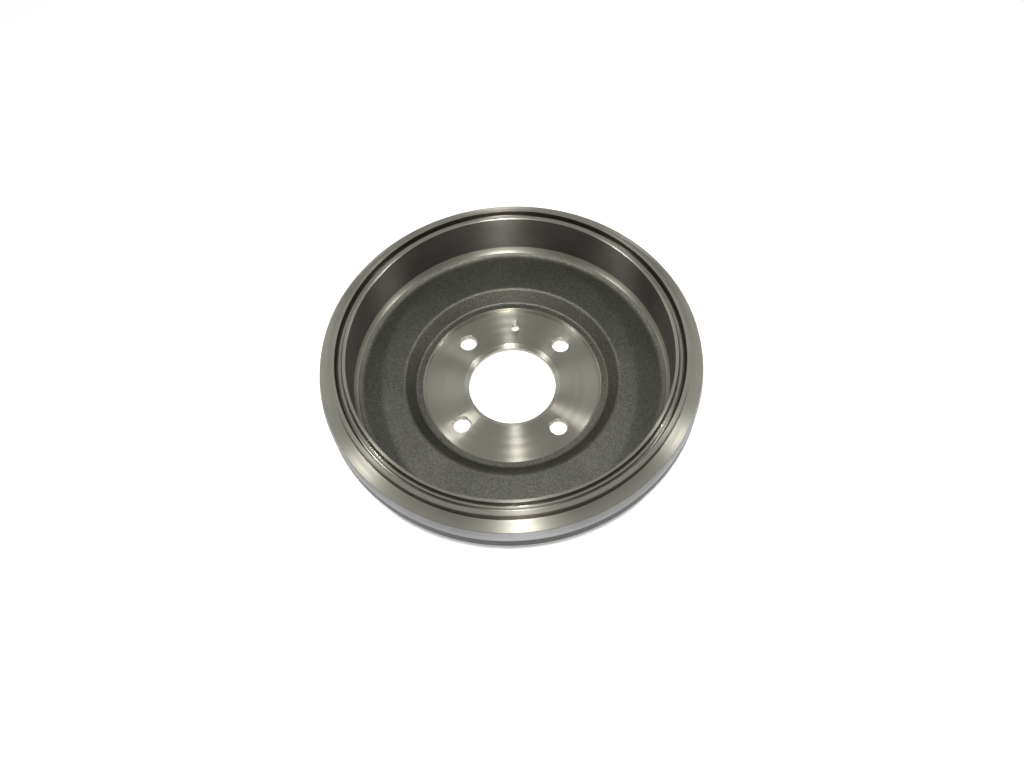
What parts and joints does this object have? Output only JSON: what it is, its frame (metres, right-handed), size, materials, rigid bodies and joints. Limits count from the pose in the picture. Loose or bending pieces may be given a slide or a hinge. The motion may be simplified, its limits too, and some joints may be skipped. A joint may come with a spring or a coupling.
{
  "type": "brake drum",
  "caption": "Cast-iron rear brake drum with a turned friction ring, a labyrinth-grooved rim and a stepped hub flange with wheel bolt holes.",
  "frame": {"origin": "centre of the turned face that the wheel seats on, which is also the bottom face the drum rests on", "axes": "+Z along the wheel axis, out of the open side; the locating screw hole lies on +Y"},
  "size_m": [0.2714, 0.2714, 0.0574],
  "materials": {
    "grey_iron": "turned and bare on the rim, friction wall and hub, as cast on the web and the outside"
  },
  "bodies": {
    "root": {"drum": "grey_iron"}
  },
  "joints": []
}
